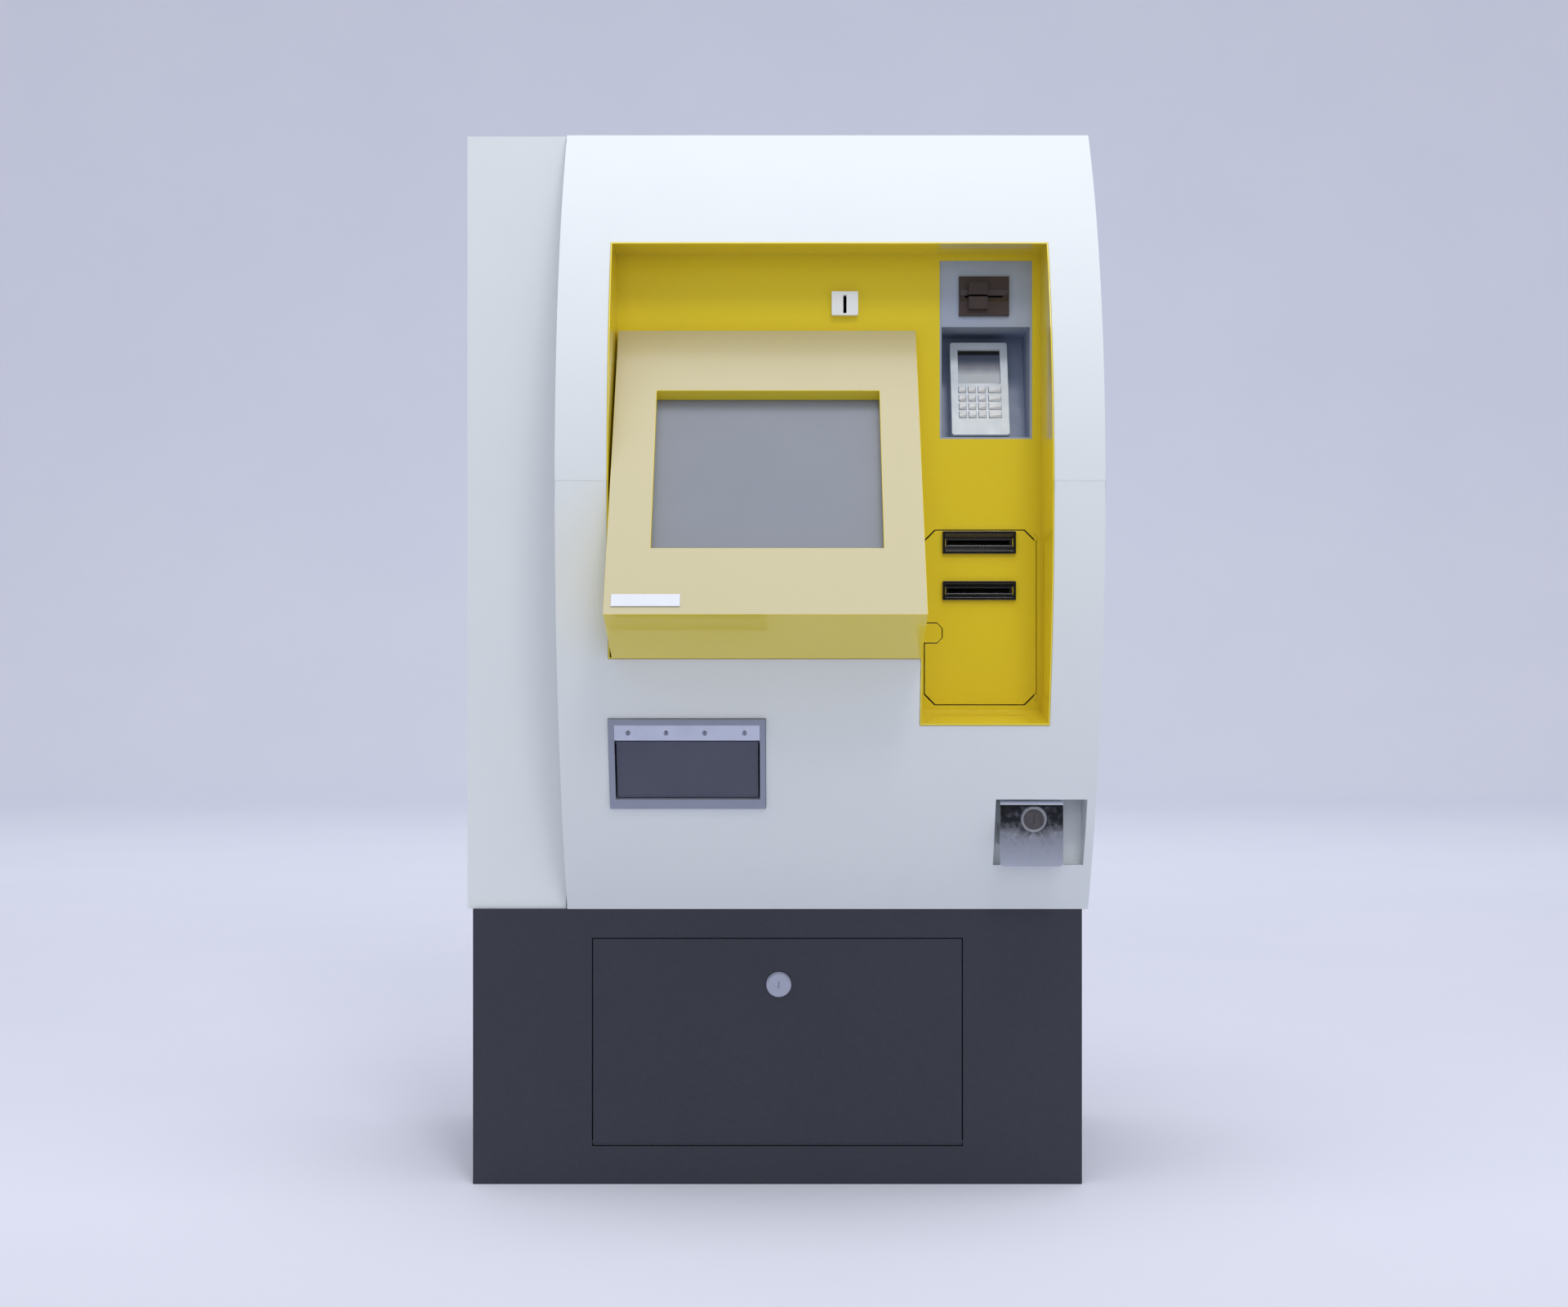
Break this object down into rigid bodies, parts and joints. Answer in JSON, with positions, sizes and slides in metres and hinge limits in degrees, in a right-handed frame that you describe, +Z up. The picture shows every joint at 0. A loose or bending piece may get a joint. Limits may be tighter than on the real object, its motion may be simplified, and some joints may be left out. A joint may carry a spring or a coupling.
{
  "type": "self-service payment terminal",
  "caption": "Free-standing self-service cash and card machine: dark plinth with locked hatch, white cabinet and a bowed service door with a yellow device recess and tilted touch screen.",
  "frame": {"origin": "centre of the plinth's footprint, on the floor", "axes": "+Z up, -Y towards the user, +X to the user's right"},
  "size_m": [0.948, 0.86, 1.6],
  "materials": {
    "plinth_paint": "dark slate textured powder coat",
    "white_paint": "smooth satin white paint",
    "yellow_paint": "glossy yellow paint",
    "cream_paint": "glossy pale yellow paint",
    "screen_glass": "anti-glare touch glass",
    "terminal_window": "tinted display window",
    "black_plastic": "moulded black plastic",
    "brown_plastic": "brown-black moulded bezel",
    "module_grey": "dark grey device casing",
    "insert_grey": "blue-grey moulded insert",
    "silver_plastic": "silver moulded plastic",
    "key_plastic": "silver key caps",
    "flap_dark": "dark slate flap",
    "satin_steel": "satin steel",
    "zinc_steel": "zinc-plated steel",
    "chrome_plate": "polished chrome"
  },
  "bodies": {
    "cabinet": {"plinth_cabinet": "plinth_paint", "cable_gland": "black_plastic", "power_unit": "module_grey", "cabinet_shell": "white_paint", "side_fascia": "white_paint", "rear_vent_panel": "white_paint", "case_screws": "satin_steel", "equipment_shelf": "zinc_steel", "control_computer": "module_grey", "coin_cash_box": "module_grey", "hinge_brackets": "zinc_steel", "hinge_pins": "satin_steel", "lock_keepers": "zinc_steel"},
    "hatch": {"hatch_panel": "plinth_paint", "hatch_lock_barrel": "satin_steel"},
    "hatch_plug": {"hatch_lock_plug": "satin_steel"},
    "door": {"door_shell": "white_paint", "hinge_arms": "zinc_steel", "fascia_tray": "yellow_paint", "display_housing": "cream_paint", "display_glass": "screen_glass", "display_panel": "black_plastic", "nameplate": "silver_plastic", "coin_slot_bezel": "silver_plastic", "coin_validator": "black_plastic", "reader_insert": "insert_grey", "card_reader_bezel": "brown_plastic", "card_reader_unit": "module_grey", "pin_terminal_body": "silver_plastic", "pin_terminal_window": "terminal_window", "banknote_unit": "module_grey", "delivery_frame": "insert_grey", "delivery_chute": "insert_grey", "delivery_strip": "satin_steel", "delivery_screws": "satin_steel", "ticket_printer": "module_grey", "lock_case": "zinc_steel"},
    "flap": {"delivery_flap": "flap_dark"},
    "note_panel": {"note_service_panel": "yellow_paint", "banknote_bezels": "black_plastic"},
    "paddle": {"handle_paddle": "chrome_plate"},
    "key_plug": {"lock_plug": "chrome_plate"},
    "upper_rod": {"upper_lock_rod": "zinc_steel"},
    "lower_rod": {"lower_lock_rod": "zinc_steel"},
    "key_r1c1": {"key_r1c1": "key_plastic"},
    "key_r1c2": {"key_r1c2": "key_plastic"},
    "key_r1c3": {"key_r1c3": "key_plastic"},
    "key_r1c4": {"key_r1c4": "key_plastic"},
    "key_r2c1": {"key_r2c1": "key_plastic"},
    "key_r2c2": {"key_r2c2": "key_plastic"},
    "key_r2c3": {"key_r2c3": "key_plastic"},
    "key_r2c4": {"key_r2c4": "key_plastic"},
    "key_r3c1": {"key_r3c1": "key_plastic"},
    "key_r3c2": {"key_r3c2": "key_plastic"},
    "key_r3c3": {"key_r3c3": "key_plastic"},
    "key_r3c4": {"key_r3c4": "key_plastic"},
    "key_r4c1": {"key_r4c1": "key_plastic"},
    "key_r4c2": {"key_r4c2": "key_plastic"},
    "key_r4c3": {"key_r4c3": "key_plastic"},
    "key_r4c4": {"key_r4c4": "key_plastic"}
  },
  "joints": [
    {"name": "door_hinge", "type": "hinge", "parent": "cabinet", "child": "door", "pos_m": [-0.346, -0.235, 1], "axis": [0, 0, -1], "range_deg": [0, 90]},
    {"name": "hatch_hinge", "type": "hinge", "parent": "cabinet", "child": "hatch", "pos_m": [0, -0.257, 0.0645], "axis": [1, 0, 0], "range_deg": [0, 90]},
    {"name": "hatch_lock_turn", "type": "hinge", "parent": "hatch", "child": "hatch_plug", "pos_m": [0.002, -0.26, 0.305], "axis": [0, -1, 0], "range_deg": [0, 90]},
    {"name": "flap_hinge", "type": "hinge", "parent": "door", "child": "flap", "pos_m": [-0.1325, -0.3776, 0.68053], "axis": [1, 0, 0], "range_deg": [0, 60]},
    {"name": "note_panel_hinge", "type": "hinge", "parent": "door", "child": "note_panel", "pos_m": [0.3904, -0.285, 0.8645], "axis": [0, 0, 1], "range_deg": [0, 75]},
    {"name": "paddle_hinge", "type": "hinge", "parent": "door", "child": "paddle", "pos_m": [0.338, -0.334, 0.54], "axis": [0, 0, -1], "range_deg": [0, 35], "stiffness_Nm_per_rad": 0.4, "springref_deg": -17.19},
    {"name": "lock_turn", "type": "hinge", "parent": "door", "child": "key_plug", "pos_m": [0.382, -0.3, 0.563], "axis": [0, -1, 0], "range_deg": [0, 90]},
    {"name": "upper_rod_slide", "type": "slide", "parent": "door", "child": "upper_rod", "axis": [0, 0, 1], "range_m": [0, 0.01649]},
    {"name": "lower_rod_slide", "type": "slide", "parent": "door", "child": "lower_rod", "axis": [0, 0, -1], "range_m": [0, 0.0166]},
    {"name": "key_r1c1_press", "type": "slide", "parent": "door", "child": "key_r1c1", "axis": [0, 0.9489, -0.3156], "range_m": [0, 0.0015], "stiffness_N_per_m": 400, "springref_m": -0.001},
    {"name": "key_r1c2_press", "type": "slide", "parent": "door", "child": "key_r1c2", "axis": [0, 0.9489, -0.3156], "range_m": [0, 0.0015], "stiffness_N_per_m": 400, "springref_m": -0.001},
    {"name": "key_r1c3_press", "type": "slide", "parent": "door", "child": "key_r1c3", "axis": [0, 0.9489, -0.3156], "range_m": [0, 0.0015], "stiffness_N_per_m": 400, "springref_m": -0.001},
    {"name": "key_r1c4_press", "type": "slide", "parent": "door", "child": "key_r1c4", "axis": [0, 0.9489, -0.3156], "range_m": [0, 0.0015], "stiffness_N_per_m": 400, "springref_m": -0.001},
    {"name": "key_r2c1_press", "type": "slide", "parent": "door", "child": "key_r2c1", "axis": [0, 0.9489, -0.3156], "range_m": [0, 0.0015], "stiffness_N_per_m": 400, "springref_m": -0.001},
    {"name": "key_r2c2_press", "type": "slide", "parent": "door", "child": "key_r2c2", "axis": [0, 0.9489, -0.3156], "range_m": [0, 0.0015], "stiffness_N_per_m": 400, "springref_m": -0.001},
    {"name": "key_r2c3_press", "type": "slide", "parent": "door", "child": "key_r2c3", "axis": [0, 0.9489, -0.3156], "range_m": [0, 0.0015], "stiffness_N_per_m": 400, "springref_m": -0.001},
    {"name": "key_r2c4_press", "type": "slide", "parent": "door", "child": "key_r2c4", "axis": [0, 0.9489, -0.3156], "range_m": [0, 0.0015], "stiffness_N_per_m": 400, "springref_m": -0.001},
    {"name": "key_r3c1_press", "type": "slide", "parent": "door", "child": "key_r3c1", "axis": [0, 0.9489, -0.3156], "range_m": [0, 0.0015], "stiffness_N_per_m": 400, "springref_m": -0.001},
    {"name": "key_r3c2_press", "type": "slide", "parent": "door", "child": "key_r3c2", "axis": [0, 0.9489, -0.3156], "range_m": [0, 0.0015], "stiffness_N_per_m": 400, "springref_m": -0.001},
    {"name": "key_r3c3_press", "type": "slide", "parent": "door", "child": "key_r3c3", "axis": [0, 0.9489, -0.3156], "range_m": [0, 0.0015], "stiffness_N_per_m": 400, "springref_m": -0.001},
    {"name": "key_r3c4_press", "type": "slide", "parent": "door", "child": "key_r3c4", "axis": [0, 0.9489, -0.3156], "range_m": [0, 0.0015], "stiffness_N_per_m": 400, "springref_m": -0.001},
    {"name": "key_r4c1_press", "type": "slide", "parent": "door", "child": "key_r4c1", "axis": [0, 0.9489, -0.3156], "range_m": [0, 0.0015], "stiffness_N_per_m": 400, "springref_m": -0.001},
    {"name": "key_r4c2_press", "type": "slide", "parent": "door", "child": "key_r4c2", "axis": [0, 0.9489, -0.3156], "range_m": [0, 0.0015], "stiffness_N_per_m": 400, "springref_m": -0.001},
    {"name": "key_r4c3_press", "type": "slide", "parent": "door", "child": "key_r4c3", "axis": [0, 0.9489, -0.3156], "range_m": [0, 0.0015], "stiffness_N_per_m": 400, "springref_m": -0.001},
    {"name": "key_r4c4_press", "type": "slide", "parent": "door", "child": "key_r4c4", "axis": [0, 0.9489, -0.3156], "range_m": [0, 0.0015], "stiffness_N_per_m": 400, "springref_m": -0.001}
  ],
  "couplings": [
    {"joint": "lock_turn", "follows": "upper_rod_slide", "rad_per_m": 95.238},
    {"joint": "lower_rod_slide", "follows": "upper_rod_slide", "ratio": 1}
  ]
}
